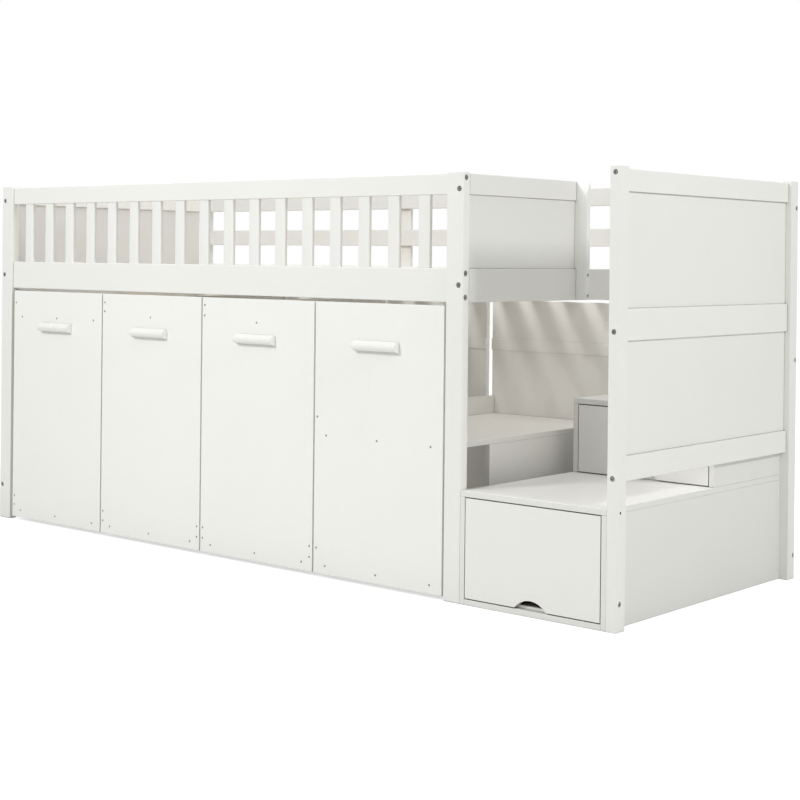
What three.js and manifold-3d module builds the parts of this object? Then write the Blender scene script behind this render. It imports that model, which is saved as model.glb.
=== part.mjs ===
import * as THREE from 'three';
import { ConvexGeometry } from 'three/addons/geometries/ConvexGeometry.js';
import { mergeVertices } from 'three/addons/utils/BufferGeometryUtils.js';
import Module from 'manifold-3d';

// A child's mid-height bed of painted boards. Four tall units roll out from under it on wheels,
// two of them for hanging clothes and the last one a desk, and two drawer boxes make its stairs.
// All sizes are in millimetres: X runs along the bed, Y from front to rear, Z up from the floor.

const wasm = await Module();
wasm.setup();

// Posts and overall frame
const bedSpan = 2086; // outer face of the left posts to the stair face of the middle posts
const stairBayWidth = 469.5; // middle posts to right end posts
const frameDepth = 959;
const postHeight = 1170.5;
const bedPostWidth = 58;
const bedPostDepth = 29.5;
const endPostWidth = 29.5;
const endPostDepth = 41.5;
const centrePostMiddle = 1073;
const centrePostWidth = 47;
const centrePostThickness = 14;
const edgeBreak = 1.5; // small chamfer on every painted board

// Long rails of the bed
const topRailDrop = 5; // top rails sit this far below the post tops
const topRailHeight = 57.5;
const frontRailThickness = 18.5;
const frontRailRecess = 5; // behind the front faces of the posts
const sideRailBottom = 814;
const sideRailHeight = 92.5;
const rearRailThickness = 18;
const rearMiddleRailHeight = 57.5; // halfway between the rails above and below it
const rearSideRailBottom = 805.5;
const rearSideRailHeight = 98;

// Front guard of upright slats
const guardSlatCount = 17;
const guardSlatWidth = 42;
const guardSlatThickness = 12;
const guardEndGap = 65; // between a post and the nearest slat
const guardTenon = 8; // each slat runs this far up into the top rail

// End frames
const endRailThickness = 21;
const endRailRecess = 8.5; // behind the outer faces of the posts
const endPanelThickness = 8;
const endPanelRecess = 8.5; // behind the outer faces of the rails
const endMiddleRailBottom = 729.5;
const endMiddleRailHeight = 82;
const endLowerRailBottom = 374.5;
const endLowerRailHeight = 64;

// Frame between the bed and the stairs
const middleRailThickness = 23;
const middlePanelThickness = 12;
const middlePanelRecess = 6;
const entryPostFront = 538.5;
const entryPostThickness = 17.5;
const entryPostProud = 37; // towards the stairs
const entryPostBottom = 815.5;
const entryPostTopDrop = 3;
const entryPostCornerAcross = 37; // corner cut away towards the front, along X
const entryPostCornerDown = 38.5;
const entryPostCornerBack = 16;

// Mattress base
const ledgeTop = 843;
const ledgeHeight = 24;
const ledgeWidth = 25;
const baseSlatCount = 16;
const baseSlatInset = 38; // first and last slat from the posts
const baseSlatWidth = 65;
const baseSlatThickness = 18;
const baseSlatEndGap = 2;
const webWidth = 30;
const webThickness = 2;
const webInset = 140; // from the inner faces of the long rails

// Stairs of two drawer boxes
const stepBoard = 16;
const lowerStepTop = 307.5;
const upperStepTop = 525.5;
const upperStepFront = 534.5;
const drawerFrontThickness = 16;
const drawerFrontGap = 2.8;
const drawerFrontSideGap = 2.3;
const drawerSlideGap = 0.3;
const drawerSideGap = 1.5;
const drawerWall = 12;
const drawerFloor = 8;
const lowerDrawerLength = 520;
const lowerDrawerHeight = 200;
const drawerRearGap = 11; // between the upper drawer and the back of its box
const upperDrawerHeight = 140;
const notchWidth = 90;
const notchHeight = 23;
const notchFacets = 48; // of the whole circle that the notch is a part of

// Roll-out units
const unitCount = 4;
const unitBoard = 16;
const bayLeftGap = 16;
const bayRightGap = 5;
const unitGap = 5.5; // between two neighbouring fronts
const unitFloorGap = 11.5;
const unitTopGap = 9.5; // under the front side rail
const unitRearGap = 73.5; // behind the backs of the units, up to the rear posts
const unitBackDrop = 6; // backs end this far below the tops of the fronts
const unitInset = 3; // base and side rails inside the edges of the front
const unitBackInset = 9; // back inside the edges of the front, also the right side of the desk
const unitBaseBottom = 28;
const lowRailHeight = 55.5;
const upperRailDrop = 5; // below the top of the back
const upperRailHeight = 59.5;
const shelfBottom = 706;
const rodDrop = 65.5; // middle of the rod below the top of the back
const rodRadius = 12.5;
const rodFacets = 24;
const cleatDrop = 127.5; // below the top of the back
const cleatHeight = 38;
const cleatThickness = 5;
const housing = 4; // depth that one joined board runs into the next
const deskTopBottom = 407.5;
const deskUpstandTop = 481;
const deskSideFront = 223;

// Half-round pulls
const pullLength = 162;
const pullHeight = 31;
const pullProud = 22;
const pullBottom = 666.5;
const pullWall = 2.5;
const pullSlotDepth = 12; // finger slot in the underside, from the door outwards
const pullEndRound = 5; // length of each rounded end
const pullEndFullness = 0.62; // below 1 the ends are fuller than an ellipse
const pullEndSteps = 5;
const pullFacets = 32;

// Wheels
const wheelRadius = 13;
const wheelWidth = 18;
const wheelRound = 2;
const wheelFacets = 16;
const wheelSideInset = 40;
const wheelEndInset = 65;
const axleRadius = 3;
const axleClearance = 0.3;
const bracketThickness = 5;
const bracketReach = 6; // bracket material round the axle hole
const bracketSteps = 6; // straight edges per arc of a bracket
const wheelSideGap = 0.3;

// Places that follow from the sizes
const middleLeft = bedSpan - bedPostWidth;
const frontRailBack = frontRailRecess + frontRailThickness;
const endLeft = bedSpan + stairBayWidth;
const overallLength = endLeft + endPostWidth;
const rearPostFront = frameDepth - bedPostDepth;
const endRearPostFront = frameDepth - endPostDepth;
const topRailTop = postHeight - topRailDrop;
const topRailBottom = topRailTop - topRailHeight;
const sideRailTop = sideRailBottom + sideRailHeight;
const rearRailBack = rearPostFront + rearRailThickness;
const rearSideRailTop = rearSideRailBottom + rearSideRailHeight;
const rearMiddleRailBottom = (rearSideRailTop + topRailBottom - rearMiddleRailHeight) / 2;
const middleRailFace = bedSpan;
const middleRailBack = middleRailFace - middleRailThickness;
const middleRearPostFront = rearPostFront - bedPostDepth;
const unitFrontTop = sideRailBottom - unitTopGap;
const unitBayWidth = middleLeft - bedPostWidth;
const unitGaps = bayLeftGap + bayRightGap + (unitCount - 1) * unitGap;
const unitFrontWidth = (unitBayWidth - unitGaps) / unitCount;
const unitPitch = unitFrontWidth + unitGap;
const unitDepth = rearPostFront - unitRearGap;
const unitBackFront = unitDepth - unitBoard;
const unitBaseTop = unitBaseBottom + unitBoard;
const stepBackFront = endRearPostFront - stepBoard;
const upperDrawerBack = stepBackFront - drawerRearGap;
const upperDrawerLength = upperDrawerBack - upperStepFront - drawerFrontThickness;
const lowRailTop = unitBaseTop + lowRailHeight;
const unitBackTop = unitFrontTop - unitBackDrop;
const upperRailTop = unitBackTop - upperRailDrop;
const upperRailBottom = upperRailTop - upperRailHeight;
const rodHeight = unitBackTop - rodDrop;
const cleatTop = unitBackTop - cleatDrop;

// Materials
function paint(name, color, roughness, metalness = 0) {
  const material = new THREE.MeshStandardMaterial({ color, roughness, metalness });
  material.name = name;
  return material;
}
const whitePaint = paint('white_paint', 0xebece6, 0.45);
const whiteBoard = paint('white_board', 0xe4e5df, 0.5);
const slatWood = paint('slat_wood', 0xd9cdb4, 0.65);
const pullPaint = paint('pull_paint', 0xf0f0ea, 0.35);
const wheelPlastic = paint('wheel_plastic', 0x3c3c3e, 0.5);

// A board between two corners with its twelve edges broken, as an array of its 24 corner points
function boardPoints([x0, x1], [y0, y1], [z0, z1], edge) {
  const points = [];
  for (const [x, inX] of [[x0, edge], [x1, -edge]]) {
    for (const [y, inY] of [[y0, edge], [y1, -edge]]) {
      for (const [z, inZ] of [[z0, edge], [z1, -edge]]) {
        points.push(new THREE.Vector3(x, y + inY, z + inZ));
        points.push(new THREE.Vector3(x + inX, y, z + inZ));
        points.push(new THREE.Vector3(x + inX, y + inY, z));
      }
    }
  }
  return points;
}

function boardShape(x, y, z, edge = edgeBreak) {
  return new ConvexGeometry(boardPoints(x, y, z, edge));
}

// A board with sharp edges, for thin or hidden pieces
function plainShape([x0, x1], [y0, y1], [z0, z1]) {
  const geometry = new THREE.BoxGeometry(x1 - x0, y1 - y0, z1 - z0);
  geometry.translate((x0 + x1) / 2, (y0 + y1) / 2, (z0 + z1) / 2);
  return geometry;
}

// A mesh whose own origin lies at the middle of its board
function board(name, x, y, z, material = whitePaint) {
  const middle = [x, y, z].map(([low, high]) => (low + high) / 2);
  const half = [x, y, z].map(([low, high]) => (high - low) / 2);
  const spans = half.map((h) => [-h, h]);
  const mesh = new THREE.Mesh(boardShape(...spans), material);
  mesh.name = name;
  mesh.position.set(...middle);
  return mesh;
}

function named(name, geometry, material = whitePaint) {
  const mesh = new THREE.Mesh(geometry, material);
  mesh.name = name;
  return mesh;
}

// Booleans
function solidOf(geometry) {
  const shell = geometry.clone();
  shell.deleteAttribute('normal');
  shell.deleteAttribute('uv');
  const merged = mergeVertices(shell, 1e-4);
  const vertProperties = merged.attributes.position.array;
  const triVerts = new Uint32Array(merged.index.array);
  return new wasm.Manifold(new wasm.Mesh({ numProp: 3, vertProperties, triVerts }));
}

function geometryOf(solid) {
  const { vertProperties, triVerts } = solid.getMesh();
  const geometry = new THREE.BufferGeometry();
  geometry.setAttribute('position', new THREE.BufferAttribute(vertProperties, 3));
  geometry.setIndex(new THREE.BufferAttribute(triVerts, 1));
  geometry.computeVertexNormals();
  return geometry;
}

function joined(shapes) {
  const solids = shapes.map(solidOf);
  return geometryOf(solids.slice(1).reduce((whole, next) => whole.add(next), solids[0]));
}

function cutFrom(shape, cutters) {
  const left = cutters.reduce((whole, cutter) => whole.subtract(solidOf(cutter)), solidOf(shape));
  return geometryOf(left);
}

function common(first, second) {
  return geometryOf(solidOf(first).intersect(solidOf(second)));
}

// Front side of the bed: two posts, the side rail with its ledge, and the slatted guard
function frontSide() {
  const side = new THREE.Group();
  const post = [0, bedPostDepth];
  const height = [0, postHeight];
  side.add(board('left_front_post', [0, bedPostWidth], post, height));
  side.add(board('middle_front_post', [middleLeft, bedSpan], post, height));

  const along = [bedPostWidth, middleLeft];
  const railSpan = [frontRailRecess, frontRailBack];
  const rail = boardShape(along, railSpan, [sideRailBottom, sideRailTop]);
  const ledgeSpan = [frontRailBack - housing, frontRailBack + ledgeWidth];
  const ledge = boardShape(along, ledgeSpan, [ledgeTop - ledgeHeight, ledgeTop]);
  side.add(named('front_side_rail', joined([rail, ledge])));

  const slatFront = (frontRailRecess + frontRailBack - guardSlatThickness) / 2;
  const slatDepth = [slatFront, slatFront + guardSlatThickness];
  const firstSlat = bedPostWidth + guardEndGap;
  const lastSlat = middleLeft - guardEndGap - guardSlatWidth;
  const slatPitch = (lastSlat - firstSlat) / (guardSlatCount - 1);
  const slatHeight = [sideRailTop, topRailBottom + guardTenon];
  const shapes = [boardShape(along, railSpan, [topRailBottom, topRailTop])];
  for (let i = 0; i < guardSlatCount; i++) {
    const left = firstSlat + i * slatPitch;
    shapes.push(boardShape([left, left + guardSlatWidth], slatDepth, slatHeight));
  }
  side.add(named('front_guard', joined(shapes)));
  return side;
}

// Rear side: posts, three rails that run on behind the stairs, and one upright behind them
function rearSide() {
  const side = new THREE.Group();
  const height = [0, postHeight];
  side.add(board('left_rear_post', [0, bedPostWidth], [rearPostFront, frameDepth], height));
  side.add(board('middle_rear_post', [middleLeft, bedSpan], [middleRearPostFront, rearPostFront], height));

  const along = [bedPostWidth, endLeft];
  const thick = [rearPostFront, rearRailBack];
  const middleRail = [rearMiddleRailBottom, rearMiddleRailBottom + rearMiddleRailHeight];
  side.add(board('rear_top_rail', along, thick, [topRailBottom, topRailTop]));
  side.add(board('rear_middle_rail', along, thick, middleRail));

  const rail = boardShape(along, thick, [rearSideRailBottom, rearSideRailTop]);
  const ledgeSpan = [rearPostFront - ledgeWidth, rearPostFront + housing];
  const ledge = boardShape([bedPostWidth, middleLeft], ledgeSpan, [ledgeTop - ledgeHeight, ledgeTop]);
  side.add(named('rear_side_rail', joined([rail, ledge])));

  const uprightLeft = centrePostMiddle - centrePostWidth / 2;
  const uprightSpan = [uprightLeft, uprightLeft + centrePostWidth];
  const uprightDepth = [rearRailBack, rearRailBack + centrePostThickness];
  side.add(board('rear_centre_post', uprightSpan, uprightDepth, [0, topRailTop]));
  return side;
}

// Left end frame, between the two left posts
function leftEnd() {
  const end = new THREE.Group();
  const across = [bedPostDepth, rearPostFront];
  const rail = [endRailRecess, endRailRecess + endRailThickness];
  const panelLeft = endRailRecess + endPanelRecess;
  const panel = [panelLeft, panelLeft + endPanelThickness];
  const middleRailTop = endMiddleRailBottom + endMiddleRailHeight;
  const lowerRailTop = endLowerRailBottom + endLowerRailHeight;
  end.add(board('left_top_rail', rail, across, [topRailBottom, topRailTop]));
  end.add(board('left_upper_panel', panel, across, [middleRailTop, topRailBottom]));
  end.add(board('left_middle_rail', rail, across, [endMiddleRailBottom, middleRailTop]));
  const lowerPanel = boardShape(panel, across, [lowerRailTop - housing, endMiddleRailBottom]);
  const lowerRail = boardShape(rail, across, [endLowerRailBottom, lowerRailTop]);
  end.add(named('left_lower_panel', joined([lowerRail, lowerPanel])));
  return end;
}

// Right end frame beside the stairs, with its two posts
function rightEnd() {
  const end = new THREE.Group();
  const postWidth = [endLeft, overallLength];
  const height = [0, postHeight];
  end.add(board('right_front_post', postWidth, [0, endPostDepth], height));
  end.add(board('right_rear_post', postWidth, [endRearPostFront, frameDepth], height));

  const across = [endPostDepth, endRearPostFront];
  const railFace = overallLength - endRailRecess;
  const rail = [railFace - endRailThickness, railFace];
  const panelFace = railFace - endPanelRecess;
  const panel = [panelFace - endPanelThickness, panelFace];
  const middleRailTop = endMiddleRailBottom + endMiddleRailHeight;
  const lowerRailTop = endLowerRailBottom + endLowerRailHeight;
  end.add(board('right_top_rail', rail, across, [topRailBottom, topRailTop]));
  end.add(board('right_upper_panel', panel, across, [middleRailTop, topRailBottom]));
  end.add(board('right_middle_rail', rail, across, [endMiddleRailBottom, middleRailTop]));
  end.add(board('right_lower_panel', panel, across, [lowerRailTop, endMiddleRailBottom]));
  end.add(board('right_lower_rail', rail, across, [endLowerRailBottom, lowerRailTop]));
  return end;
}

// The outline of the entry post in X and Z, notched over the cross rail
function entryPostOutline() {
  const outer = middleRailFace + entryPostProud;
  const top = postHeight - entryPostTopDrop;
  const outline = new THREE.Shape();
  outline.moveTo(middleRailFace, entryPostBottom);
  outline.lineTo(outer, entryPostBottom);
  outline.lineTo(outer, top);
  outline.lineTo(middleRailBack, top);
  outline.lineTo(middleRailBack, sideRailTop);
  outline.lineTo(middleRailFace, sideRailTop);
  outline.closePath();
  return outline;
}

// The slanting cut that takes off the top corner of the entry post, wider at its front face
function cornerCut() {
  const outer = middleRailFace + entryPostProud;
  const top = postHeight - entryPostTopDrop;
  const across = new THREE.Vector3(outer - entryPostCornerAcross, entryPostFront, top);
  const down = new THREE.Vector3(outer, entryPostFront, top - entryPostCornerDown);
  const back = new THREE.Vector3(outer, entryPostFront + entryPostCornerBack, top);
  const middle = new THREE.Vector3().add(across).add(down).add(back).divideScalar(3);
  const slope = down.clone().sub(across).cross(back.clone().sub(across)).normalize();
  // The cutting face is twice the size of the facet, so its edges lie outside the post
  const corners = [across, down, back].map((corner) => corner.clone().lerp(middle, -1));
  const apex = middle.clone().addScaledVector(slope, entryPostProud + entryPostCornerDown);
  return new ConvexGeometry([...corners, apex]);
}

// The frame between bed and stairs: cross rail, half-length guard and the post to climb past
function middleFrame() {
  const frame = new THREE.Group();
  const thick = [middleRailBack, middleRailFace];
  const guard = [bedPostDepth, entryPostFront];
  const panelFace = middleRailFace - middlePanelRecess;
  const panel = [panelFace - middlePanelThickness, panelFace];
  const crossSpan = [bedPostDepth, middleRearPostFront];
  frame.add(board('middle_cross_rail', thick, crossSpan, [sideRailBottom, sideRailTop]));
  frame.add(board('middle_panel', panel, guard, [sideRailTop, topRailBottom]));
  frame.add(board('middle_top_rail', thick, guard, [topRailBottom, topRailTop]));

  const post = new THREE.ExtrudeGeometry(entryPostOutline(), {
    depth: entryPostThickness,
    bevelEnabled: false,
  });
  post.rotateX(Math.PI / 2);
  post.translate(0, entryPostFront + entryPostThickness, 0);
  frame.add(named('entry_post', cutFrom(post, [cornerCut()])));
  return frame;
}

// Slats across the bed on the two ledges, held at their spacing by two straps underneath
function mattressBase() {
  const slatFront = frontRailBack + baseSlatEndGap;
  const slatBack = rearPostFront - baseSlatEndGap;
  const start = bedPostWidth + baseSlatInset;
  const end = middleLeft - baseSlatInset;
  const pitch = (end - start - baseSlatWidth) / (baseSlatCount - 1);
  const shapes = [];
  for (let i = 0; i < baseSlatCount; i++) {
    const left = start + i * pitch;
    const height = [ledgeTop, ledgeTop + baseSlatThickness];
    shapes.push(plainShape([left, left + baseSlatWidth], [slatFront, slatBack], height));
  }
  const strapHeight = [ledgeTop - webThickness, ledgeTop + webThickness];
  for (const middle of [frontRailBack + webInset, rearPostFront - webInset]) {
    const strapSpan = [middle - webWidth / 2, middle + webWidth / 2];
    shapes.push(plainShape([start, end], strapSpan, strapHeight));
  }
  return named('slat_base', joined(shapes), slatWood);
}

// The stair boxes without their drawers
function stairs() {
  const boxes = new THREE.Group();
  const left = [bedSpan, bedSpan + stepBoard];
  const right = [endLeft - stepBoard, endLeft];
  const inside = [left[1], right[0]];
  const whole = [bedSpan, endLeft];
  const depth = [0, endRearPostFront];
  const back = [stepBackFront, endRearPostFront];

  const lowerInside = lowerStepTop - stepBoard;
  boxes.add(board('lower_step_left_side', left, depth, [0, lowerInside], whiteBoard));
  boxes.add(board('lower_step_right_side', right, depth, [0, lowerInside], whiteBoard));
  boxes.add(board('lower_step_base', inside, depth, [0, stepBoard], whiteBoard));
  boxes.add(board('lower_step_back', inside, back, [stepBoard, lowerInside], whiteBoard));
  boxes.add(board('lower_step_tread', whole, depth, [lowerInside, lowerStepTop], whiteBoard));

  const upperDepth = [upperStepFront, endRearPostFront];
  const upperHeight = [lowerStepTop, upperStepTop - stepBoard];
  boxes.add(board('upper_step_left_side', left, upperDepth, upperHeight, whiteBoard));
  boxes.add(board('upper_step_right_side', right, upperDepth, upperHeight, whiteBoard));
  boxes.add(board('upper_step_back', inside, back, upperHeight, whiteBoard));
  const tread = [upperStepTop - stepBoard, upperStepTop];
  boxes.add(board('upper_step_tread', whole, upperDepth, tread, whiteBoard));
  return boxes;
}

// A drawer front with a part-round finger notch at the middle of its lower edge
function drawerFront(name, width, height) {
  const front = boardShape([-width / 2, width / 2], [0, drawerFrontThickness], [0, height]);
  const notchRadius = (notchWidth ** 2 / 4 + notchHeight ** 2) / (2 * notchHeight);
  const through = 4 * drawerFrontThickness; // the cutter stands clear of the front on both faces
  const cutter = new THREE.CylinderGeometry(notchRadius, notchRadius, through, notchFacets);
  cutter.translate(0, 0, notchHeight - notchRadius);
  return named(name, cutFrom(front, [cutter]), whiteBoard);
}

// An open-topped tray without a front wall of its own, closed by the drawer front
function drawerBox(name, width, length, height) {
  const across = [-width / 2, width / 2];
  const floor = boardShape(across, [0, length], [0, drawerFloor], edgeBreak / 2);
  const back = boardShape(across, [length - drawerWall, length], [0, height], edgeBreak / 2);
  const shapes = [floor, back];
  for (const side of [-1, 1]) {
    const outer = side * width / 2;
    const inner = outer - side * drawerWall;
    const span = [Math.min(outer, inner), Math.max(outer, inner)];
    shapes.push(boardShape(span, [0, length], [0, height], edgeBreak / 2));
  }
  return named(name, joined(shapes), whiteBoard);
}

function drawer(name, front, [bottom, top], length, height) {
  const group = new THREE.Group();
  const inside = stairBayWidth - 2 * stepBoard;
  const faceWidth = inside - 2 * drawerFrontSideGap;
  const face = drawerFront(name + '_front', faceWidth, top - bottom - 2 * drawerFrontGap);
  face.position.z = drawerFrontGap;
  const box = drawerBox(name + '_box', inside - 2 * drawerSideGap, length, height);
  box.position.set(0, drawerFrontThickness, drawerSlideGap);
  group.add(face, box);
  group.position.set(bedSpan + stairBayWidth / 2, front, bottom);
  return group;
}

function drawers() {
  const pair = new THREE.Group();
  const lower = [stepBoard, lowerStepTop - stepBoard];
  const upper = [lowerStepTop, upperStepTop - stepBoard];
  pair.add(drawer('lower_drawer', 0, lower, lowerDrawerLength, lowerDrawerHeight));
  pair.add(drawer('upper_drawer', upperStepFront, upper, upperDrawerLength, upperDrawerHeight));
  return pair;
}

// A long oval solid along X with softly rounded ends, the outside or the hollow of a pull
function pullBody(length, proud, height) {
  const straight = length / 2 - pullEndRound;
  const rightEnd = [];
  for (let i = 0; i <= pullEndSteps; i++) {
    const turn = (i / pullEndSteps) * (Math.PI / 2);
    const along = straight + pullEndRound * Math.sin(turn) ** pullEndFullness;
    const radius = i === pullEndSteps ? 0 : Math.cos(turn) ** pullEndFullness;
    rightEnd.push(new THREE.Vector2(radius, along));
  }
  const leftEnd = rightEnd.map(({ x, y }) => new THREE.Vector2(x, -y)).reverse();
  const geometry = new THREE.LatheGeometry([...leftEnd, ...rightEnd], pullFacets);
  geometry.rotateZ(-Math.PI / 2);
  geometry.scale(1, proud, height / 2);
  return geometry;
}

// A half-round pull: closed above and at both ends, with a finger slot in its underside
function pull(name) {
  const reach = pullLength;
  const inside = pullLength - 2 * pullWall;
  const outside = pullBody(pullLength, pullProud, pullHeight);
  const hollow = pullBody(inside, pullProud - pullWall, pullHeight - 2 * pullWall);
  const slot = plainShape([-inside / 2, inside / 2], [-pullSlotDepth, reach], [-reach, 0]);
  const outward = boardShape([-reach, reach], [-reach, 0], [-reach, reach], edgeBreak);
  const shell = common(cutFrom(outside, [hollow, slot]), outward);
  shell.translate(0, 0, pullHeight / 2);
  return named(name, shell, pullPaint);
}

// Wheel bracket in Y and Z: hangs from the base board, round below, with the axle hole
function bracketShape(left, axleY) {
  const reach = axleRadius + axleClearance + bracketReach;
  const outline = new THREE.Shape();
  outline.moveTo(-reach, unitBaseBottom + housing - wheelRadius);
  outline.lineTo(-reach, 0);
  outline.absarc(0, 0, reach, Math.PI, 2 * Math.PI, false);
  outline.lineTo(reach, unitBaseBottom + housing - wheelRadius);
  outline.closePath();
  const hole = new THREE.Path();
  hole.absarc(0, 0, axleRadius + axleClearance, 0, 2 * Math.PI, true);
  outline.holes.push(hole);
  const geometry = new THREE.ExtrudeGeometry(outline, {
    depth: bracketThickness,
    bevelEnabled: false,
    curveSegments: bracketSteps,
  });
  geometry.rotateX(Math.PI / 2);
  geometry.rotateZ(Math.PI / 2);
  geometry.translate(left, axleY, wheelRadius);
  return geometry;
}

const wheelRows = [['front', wheelEndInset], ['rear', unitDepth - wheelEndInset]];

function bracketShapes(left, right) {
  const shapes = [];
  for (const [, axleY] of wheelRows) {
    const inboard = wheelSideInset + wheelWidth + wheelSideGap;
    shapes.push(bracketShape(left + inboard, axleY));
    shapes.push(bracketShape(right - inboard - bracketThickness, axleY));
  }
  return shapes;
}

// Two wheels on one axle, turned as a single profile about X
function wheelPair(name, left, right, axleY) {
  const half = (right - left) / 2 - wheelSideInset;
  const inner = half - wheelWidth;
  const rim = wheelRadius - wheelRound;
  const profile = [
    [0, -half],
    [rim, -half],
    [wheelRadius, -half + wheelRound],
    [wheelRadius, -inner],
    [axleRadius, -inner],
    [axleRadius, inner],
    [wheelRadius, inner],
    [wheelRadius, half - wheelRound],
    [rim, half],
    [0, half],
  ].map(([radius, along]) => new THREE.Vector2(radius, along));
  const mesh = named(name, new THREE.LatheGeometry(profile, wheelFacets), wheelPlastic);
  mesh.rotation.z = -Math.PI / 2;
  mesh.position.set((left + right) / 2, axleY, wheelRadius);
  return mesh;
}

// Boards that every unit has: base, tall back with a cross cleat, and a low rail at the left
function commonShapes(left, right) {
  const depth = [unitBoard, unitDepth];
  const back = [unitBackFront, unitDepth];
  const across = [unitBackInset, unitFrontWidth - unitBackInset];
  const cleat = [unitBackFront - cleatThickness, unitBackFront + housing];
  return [
    boardShape([left, right], depth, [unitBaseBottom, unitBaseTop]),
    boardShape(across, back, [unitBaseBottom, unitBackTop]),
    boardShape(across, cleat, [cleatTop - cleatHeight, cleatTop], edgeBreak / 2),
    ...bracketShapes(left, right),
  ];
}

function lowRail(left) {
  const depth = [unitBoard, unitBackFront + housing];
  return boardShape([left, left + unitBoard], depth, [unitBaseTop - housing, lowRailTop]);
}

function upperRail(left) {
  const depth = [unitBoard, unitBackFront + housing];
  return boardShape([left, left + unitBoard], depth, [upperRailBottom, upperRailTop]);
}

// Open shelf unit: a tray near the top with one raised side
function shelfShapes(left, right) {
  const depth = [unitBoard, unitBackFront + housing];
  const shelfTop = shelfBottom + unitBoard;
  const tray = boardShape([left, right], depth, [shelfBottom, shelfTop]);
  const side = boardShape([left, left + unitBoard], depth, [shelfTop - housing, upperRailTop]);
  return [tray, side, lowRail(left)];
}

// Hanging unit: a rod from front to back at the middle of the unit
function wardrobeShapes(left, right) {
  const rodLength = unitBackFront + housing - unitBoard;
  const rod = new THREE.CylinderGeometry(rodRadius, rodRadius, rodLength, rodFacets);
  rod.translate((left + right) / 2, unitBoard + rodLength / 2, rodHeight);
  return [lowRail(left), lowRail(right - unitBoard), upperRail(left), rod];
}

// Desk unit: open at the left under a rail that stands above the top, and a right side set back
function deskShapes(left, right) {
  const depth = [unitBoard, unitBackFront + housing];
  const height = [deskTopBottom, deskUpstandTop];
  const upstand = boardShape([left, left + unitBoard], depth, height);
  const kneeDepth = [deskSideFront, unitBackFront + housing];
  const kneeHeight = [unitBaseTop - housing, deskTopBottom];
  const rightSide = boardShape([right - unitBoard, right], kneeDepth, kneeHeight);
  return [lowRail(left), upstand, rightSide];
}

// One unit with its front, pull, carcass and two pairs of wheels
function rollOutUnit(name, index, ownShapes, rightInset = unitInset) {
  const unit = new THREE.Group();
  const left = unitInset;
  const right = unitFrontWidth - rightInset;
  unit.add(board(name + '_front', [0, unitFrontWidth], [0, unitBoard], [unitFloorGap, unitFrontTop]));
  const grip = pull(name + '_pull');
  grip.position.set(unitFrontWidth / 2, 0, pullBottom);
  unit.add(grip);
  const shapes = [...commonShapes(left, right), ...ownShapes(left, right)];
  unit.add(named(name + '_carcass', joined(shapes), whiteBoard));
  for (const [row, axleY] of wheelRows) {
    unit.add(wheelPair(name + '_' + row + '_wheels', left, right, axleY));
  }
  unit.position.x = bedPostWidth + bayLeftGap + index * unitPitch;
  return unit;
}

// The desk's writing surface, between the front, the upstand and the back
function deskTop() {
  const along = [unitInset + unitBoard, unitFrontWidth - unitBackInset];
  const height = [deskTopBottom, deskTopBottom + unitBoard];
  return board('desk_top', along, [unitBoard, unitBackFront], height, whiteBoard);
}

function units() {
  const row = new THREE.Group();
  row.add(rollOutUnit('shelf_unit', 0, shelfShapes));
  row.add(rollOutUnit('wardrobe_unit_left', 1, wardrobeShapes));
  row.add(rollOutUnit('wardrobe_unit_right', 2, wardrobeShapes));
  const desk = rollOutUnit('desk_unit', 3, deskShapes, unitBackInset);
  desk.add(deskTop());
  row.add(desk);
  return row;
}

// The whole bed stands on the floor with its origin below the middle of its box
const bed = new THREE.Group();
bed.name = 'bunk_bed_with_desk';
bed.add(frontSide(), rearSide(), leftEnd(), rightEnd(), middleFrame(), mattressBase());
bed.add(stairs(), drawers(), units());
bed.position.set(-overallLength / 2, (pullProud - frameDepth) / 2, 0);

export default bed;
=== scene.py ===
import math

import bmesh
import bpy
from mathutils import Matrix, Vector


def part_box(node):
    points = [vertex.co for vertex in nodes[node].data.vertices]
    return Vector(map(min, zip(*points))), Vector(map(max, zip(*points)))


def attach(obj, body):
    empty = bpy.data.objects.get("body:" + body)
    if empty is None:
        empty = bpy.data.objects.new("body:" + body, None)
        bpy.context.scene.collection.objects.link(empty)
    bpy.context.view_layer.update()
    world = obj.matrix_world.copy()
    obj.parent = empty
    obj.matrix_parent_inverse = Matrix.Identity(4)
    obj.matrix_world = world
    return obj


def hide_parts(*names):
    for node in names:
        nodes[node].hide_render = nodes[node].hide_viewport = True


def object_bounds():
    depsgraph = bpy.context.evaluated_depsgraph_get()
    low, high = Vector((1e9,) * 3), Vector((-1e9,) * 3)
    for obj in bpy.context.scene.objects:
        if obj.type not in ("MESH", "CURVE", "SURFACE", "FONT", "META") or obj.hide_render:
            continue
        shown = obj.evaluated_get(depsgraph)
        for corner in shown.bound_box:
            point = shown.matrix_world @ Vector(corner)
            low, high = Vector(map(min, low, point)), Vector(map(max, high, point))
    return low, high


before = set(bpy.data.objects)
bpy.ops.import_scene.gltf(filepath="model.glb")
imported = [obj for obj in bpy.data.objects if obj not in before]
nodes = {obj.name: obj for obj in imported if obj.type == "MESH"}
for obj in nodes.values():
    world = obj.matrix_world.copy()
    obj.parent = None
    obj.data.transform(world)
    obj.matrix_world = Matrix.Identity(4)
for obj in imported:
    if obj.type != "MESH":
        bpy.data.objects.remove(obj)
solid_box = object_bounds()
scene = bpy.context.scene
scene.view_settings.view_transform = "Standard"

# The studio: the camera stands in front of the stair end at a child's eye
# height. The floor is seamless pale paper. One soft lamp stands in front, one
# at the stair end, and a broad one hangs overhead.

lens_focus_px = 1594.728
picture_px = 800
sensor_mm, sight_limit = 36, 60
camera_place = Vector((3.47147, -3.845, 0.93316))
heading, tilt, lean = -0.709556, -0.001595, 0.01063
horizon_px = 260.619
side_shift_px = -0.5

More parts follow.
